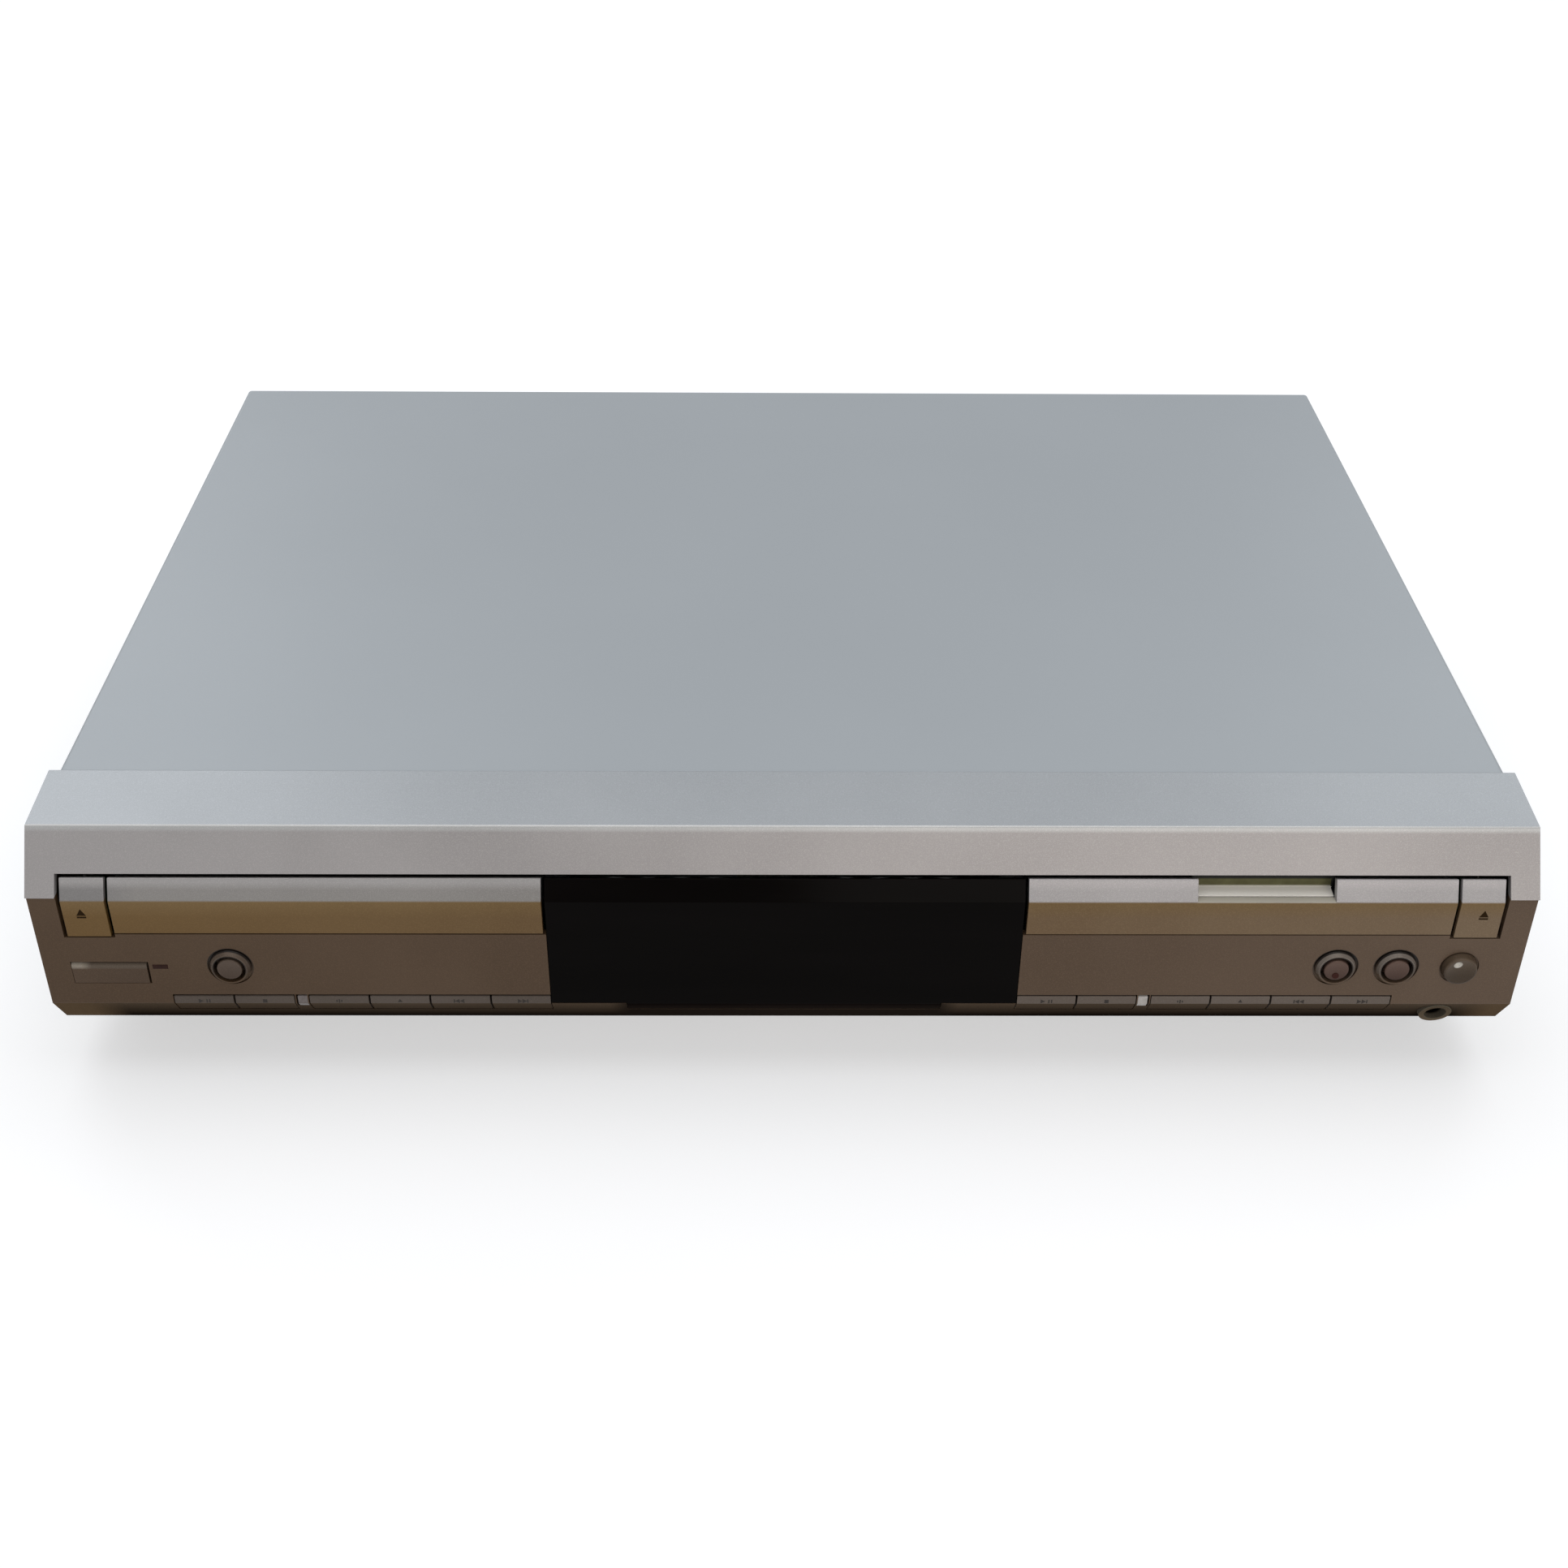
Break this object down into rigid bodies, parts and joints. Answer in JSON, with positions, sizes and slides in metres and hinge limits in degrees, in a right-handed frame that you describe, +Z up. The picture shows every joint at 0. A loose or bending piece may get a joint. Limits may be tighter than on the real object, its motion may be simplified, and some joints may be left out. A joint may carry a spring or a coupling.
{
  "type": "cd recorder",
  "caption": "Low wide disc recorder with a leaning visor over two disc trays, a black display between them, rows of keys along the chin, and a metal cover on round feet.",
  "frame": {"origin": "on the resting plane, under the middle of the whole width and depth", "axes": "+X to the right seen from the front, +Y to the back, +Z up"},
  "size_m": [0.435, 0.3198, 0.088],
  "materials": {
    "cover_paint": "fine satin grey paint on folded sheet",
    "front_silver": "silver metallic lacquer on moulded plastic",
    "front_bronze": "warm metallic lacquer on moulded plastic",
    "door_bronze": "gold metallic lacquer on moulded plastic",
    "key_metal": "warm metallic lacquer on small keys",
    "red_key": "reddish metallic lacquer on round keys",
    "display_black": "smoked black glossy window",
    "lens_white": "milky light guide",
    "cream_liner": "cream moulded liner",
    "black_plastic": "fine moulded grain",
    "grey_plastic": "moulded deck plastic",
    "white_plastic": "white acetal",
    "board_green": "solder mask on laminate",
    "board_brown": "bare paper laminate",
    "zinc_steel": "zinc-plated sheet",
    "bright_steel": "ground steel",
    "rear_paint": "satin grey paint",
    "gold_socket": "gilt socket sleeves",
    "foot_rubber": "moulded feet",
    "damper_rubber": "soft mounts",
    "display_glass": "fluorescent display tube"
  },
  "bodies": {
    "case": {"top_cover": "cover_paint", "base_pan": "zinc_steel", "rear_panel": "rear_paint", "visor": "front_silver", "front_panel": "front_bronze", "display_window": "display_black", "display_tube": "display_glass", "front_board": "board_green", "headphone_jack": "key_metal", "indicator_lenses": "lens_white", "main_board": "board_green", "power_board": "board_brown", "feet": "foot_rubber", "phono_sockets": "gold_socket", "optical_sockets": "black_plastic", "mains_inlet": "black_plastic", "screws": "bright_steel", "drive_motors": "zinc_steel", "traverse_plates": "zinc_steel", "guide_rods": "bright_steel", "dampers": "damper_rubber", "clamp_bridges": "zinc_steel", "player_frame": "grey_plastic", "recorder_frame": "grey_plastic"},
    "player_tray": {"player_tray": "grey_plastic", "player_door": "door_bronze"},
    "recorder_tray": {"recorder_tray": "grey_plastic", "recorder_door": "door_bronze", "record_window": "cream_liner"},
    "player_loading_gear": {"player_loading_gear": "white_plastic"},
    "player_loading_pinion": {"player_loading_pinion": "white_plastic"},
    "player_sled": {"player_sled": "zinc_steel"},
    "player_turntable": {"player_turntable": "black_plastic"},
    "player_puck": {"player_puck": "white_plastic"},
    "player_lead_screw": {"player_lead_screw": "bright_steel"},
    "player_eject_key": {"player_eject_key": "door_bronze"},
    "player_key_1": {"player_key_1": "key_metal"},
    "player_key_2": {"player_key_2": "key_metal"},
    "player_key_3": {"player_key_3": "key_metal"},
    "player_key_4": {"player_key_4": "key_metal"},
    "player_key_5": {"player_key_5": "key_metal"},
    "player_key_6": {"player_key_6": "key_metal"},
    "recorder_loading_gear": {"recorder_loading_gear": "white_plastic"},
    "recorder_loading_pinion": {"recorder_loading_pinion": "white_plastic"},
    "recorder_sled": {"recorder_sled": "zinc_steel"},
    "recorder_turntable": {"recorder_turntable": "black_plastic"},
    "recorder_puck": {"recorder_puck": "white_plastic"},
    "recorder_lead_screw": {"recorder_lead_screw": "bright_steel"},
    "recorder_eject_key": {"recorder_eject_key": "door_bronze"},
    "recorder_key_1": {"recorder_key_1": "key_metal"},
    "recorder_key_2": {"recorder_key_2": "key_metal"},
    "recorder_key_3": {"recorder_key_3": "key_metal"},
    "recorder_key_4": {"recorder_key_4": "key_metal"},
    "recorder_key_5": {"recorder_key_5": "key_metal"},
    "recorder_key_6": {"recorder_key_6": "key_metal"},
    "menu_key": {"menu_key": "key_metal"},
    "record_key": {"record_key": "red_key"},
    "copy_key": {"copy_key": "red_key"},
    "standby_key": {"standby_key": "key_metal"},
    "level_knob": {"level_knob": "key_metal"}
  },
  "joints": [
    {"name": "player_tray_slide", "type": "slide", "parent": "case", "child": "player_tray", "axis": [0, -1, 0], "range_m": [0, 0.136]},
    {"name": "player_loading_gear_turn", "type": "hinge", "parent": "case", "child": "player_loading_gear", "pos_m": [-0.0927, -0.12235, 0.0594], "axis": [0, 0, 1], "range_deg": [-521, 2]},
    {"name": "player_loading_pinion_turn", "type": "hinge", "parent": "case", "child": "player_loading_pinion", "pos_m": [-0.1137, -0.12235, 0.0594], "axis": [0, 0, 1], "range_deg": [-2, 1301]},
    {"name": "player_sled_slide", "type": "slide", "parent": "case", "child": "player_sled", "axis": [0, 1, 0], "range_m": [0, 0.036]},
    {"name": "player_lead_screw_turn", "type": "hinge", "parent": "case", "child": "player_lead_screw", "pos_m": [-0.0962, -0.06035, 0.0568], "axis": [0, 1, 0], "range_deg": [-2, 2163]},
    {"name": "player_turntable_spin", "type": "hinge", "parent": "case", "child": "player_turntable", "pos_m": [-0.1322, -0.08035, 0.064], "axis": [0, 0, 1], "continuous": true},
    {"name": "player_puck_spin", "type": "hinge", "parent": "case", "child": "player_puck", "pos_m": [-0.1322, -0.08035, 0.07], "axis": [0, 0, 1], "continuous": true},
    {"name": "player_eject_press", "type": "slide", "parent": "case", "child": "player_eject_key", "axis": [0, 1, 0], "range_m": [0, 0.0008], "stiffness_N_per_m": 900},
    {"name": "player_key_1_press", "type": "slide", "parent": "case", "child": "player_key_1", "axis": [0, 1, 0], "range_m": [0, 0.0008], "stiffness_N_per_m": 800},
    {"name": "player_key_2_press", "type": "slide", "parent": "case", "child": "player_key_2", "axis": [0, 1, 0], "range_m": [0, 0.0008], "stiffness_N_per_m": 800},
    {"name": "player_key_3_press", "type": "slide", "parent": "case", "child": "player_key_3", "axis": [0, 1, 0], "range_m": [0, 0.0008], "stiffness_N_per_m": 800},
    {"name": "player_key_4_press", "type": "slide", "parent": "case", "child": "player_key_4", "axis": [0, 1, 0], "range_m": [0, 0.0008], "stiffness_N_per_m": 800},
    {"name": "player_key_5_press", "type": "slide", "parent": "case", "child": "player_key_5", "axis": [0, 1, 0], "range_m": [0, 0.0008], "stiffness_N_per_m": 800},
    {"name": "player_key_6_press", "type": "slide", "parent": "case", "child": "player_key_6", "axis": [0, 1, 0], "range_m": [0, 0.0008], "stiffness_N_per_m": 800},
    {"name": "recorder_tray_slide", "type": "slide", "parent": "case", "child": "recorder_tray", "axis": [0, -1, 0], "range_m": [0, 0.136]},
    {"name": "recorder_loading_gear_turn", "type": "hinge", "parent": "case", "child": "recorder_loading_gear", "pos_m": [0.1717, -0.12235, 0.0594], "axis": [0, 0, 1], "range_deg": [-521, 2]},
    {"name": "recorder_loading_pinion_turn", "type": "hinge", "parent": "case", "child": "recorder_loading_pinion", "pos_m": [0.1507, -0.12235, 0.0594], "axis": [0, 0, 1], "range_deg": [-2, 1301]},
    {"name": "recorder_sled_slide", "type": "slide", "parent": "case", "child": "recorder_sled", "axis": [0, 1, 0], "range_m": [0, 0.036]},
    {"name": "recorder_lead_screw_turn", "type": "hinge", "parent": "case", "child": "recorder_lead_screw", "pos_m": [0.1682, -0.06035, 0.0568], "axis": [0, 1, 0], "range_deg": [-2, 2163]},
    {"name": "recorder_turntable_spin", "type": "hinge", "parent": "case", "child": "recorder_turntable", "pos_m": [0.1322, -0.08035, 0.064], "axis": [0, 0, 1], "continuous": true},
    {"name": "recorder_puck_spin", "type": "hinge", "parent": "case", "child": "recorder_puck", "pos_m": [0.1322, -0.08035, 0.07], "axis": [0, 0, 1], "continuous": true},
    {"name": "recorder_eject_press", "type": "slide", "parent": "case", "child": "recorder_eject_key", "axis": [0, 1, 0], "range_m": [0, 0.0008], "stiffness_N_per_m": 900},
    {"name": "recorder_key_1_press", "type": "slide", "parent": "case", "child": "recorder_key_1", "axis": [0, 1, 0], "range_m": [0, 0.0008], "stiffness_N_per_m": 800},
    {"name": "recorder_key_2_press", "type": "slide", "parent": "case", "child": "recorder_key_2", "axis": [0, 1, 0], "range_m": [0, 0.0008], "stiffness_N_per_m": 800},
    {"name": "recorder_key_3_press", "type": "slide", "parent": "case", "child": "recorder_key_3", "axis": [0, 1, 0], "range_m": [0, 0.0008], "stiffness_N_per_m": 800},
    {"name": "recorder_key_4_press", "type": "slide", "parent": "case", "child": "recorder_key_4", "axis": [0, 1, 0], "range_m": [0, 0.0008], "stiffness_N_per_m": 800},
    {"name": "recorder_key_5_press", "type": "slide", "parent": "case", "child": "recorder_key_5", "axis": [0, 1, 0], "range_m": [0, 0.0008], "stiffness_N_per_m": 800},
    {"name": "recorder_key_6_press", "type": "slide", "parent": "case", "child": "recorder_key_6", "axis": [0, 1, 0], "range_m": [0, 0.0008], "stiffness_N_per_m": 800},
    {"name": "menu_press", "type": "slide", "parent": "case", "child": "menu_key", "axis": [0, 1, 0], "range_m": [0, 0.0008], "stiffness_N_per_m": 800},
    {"name": "record_press", "type": "slide", "parent": "case", "child": "record_key", "axis": [0, 1, 0], "range_m": [0, 0.0008], "stiffness_N_per_m": 800},
    {"name": "copy_press", "type": "slide", "parent": "case", "child": "copy_key", "axis": [0, 1, 0], "range_m": [0, 0.0008], "stiffness_N_per_m": 800},
    {"name": "standby_press", "type": "hinge", "parent": "case", "child": "standby_key", "pos_m": [-0.2075, -0.15235, 0.04105], "axis": [0, 0, 1], "range_deg": [0, 3.5], "stiffness_Nm_per_rad": 0.4},
    {"name": "level_turn", "type": "hinge", "parent": "case", "child": "level_knob", "pos_m": [0.1991, -0.15835, 0.0436], "axis": [0, 1, 0], "range_deg": [-150, 150]}
  ],
  "couplings": [
    {"joint": "player_loading_gear_turn", "follows": "player_tray_slide", "rad_per_m": -66.667},
    {"joint": "player_loading_pinion_turn", "follows": "player_tray_slide", "rad_per_m": 166.67},
    {"joint": "player_lead_screw_turn", "follows": "player_sled_slide", "rad_per_m": 1047.2},
    {"joint": "player_puck_spin", "follows": "player_turntable_spin", "ratio": 1},
    {"joint": "recorder_loading_gear_turn", "follows": "recorder_tray_slide", "rad_per_m": -66.667},
    {"joint": "recorder_loading_pinion_turn", "follows": "recorder_tray_slide", "rad_per_m": 166.67},
    {"joint": "recorder_lead_screw_turn", "follows": "recorder_sled_slide", "rad_per_m": 1047.2},
    {"joint": "recorder_puck_spin", "follows": "recorder_turntable_spin", "ratio": 1}
  ]
}
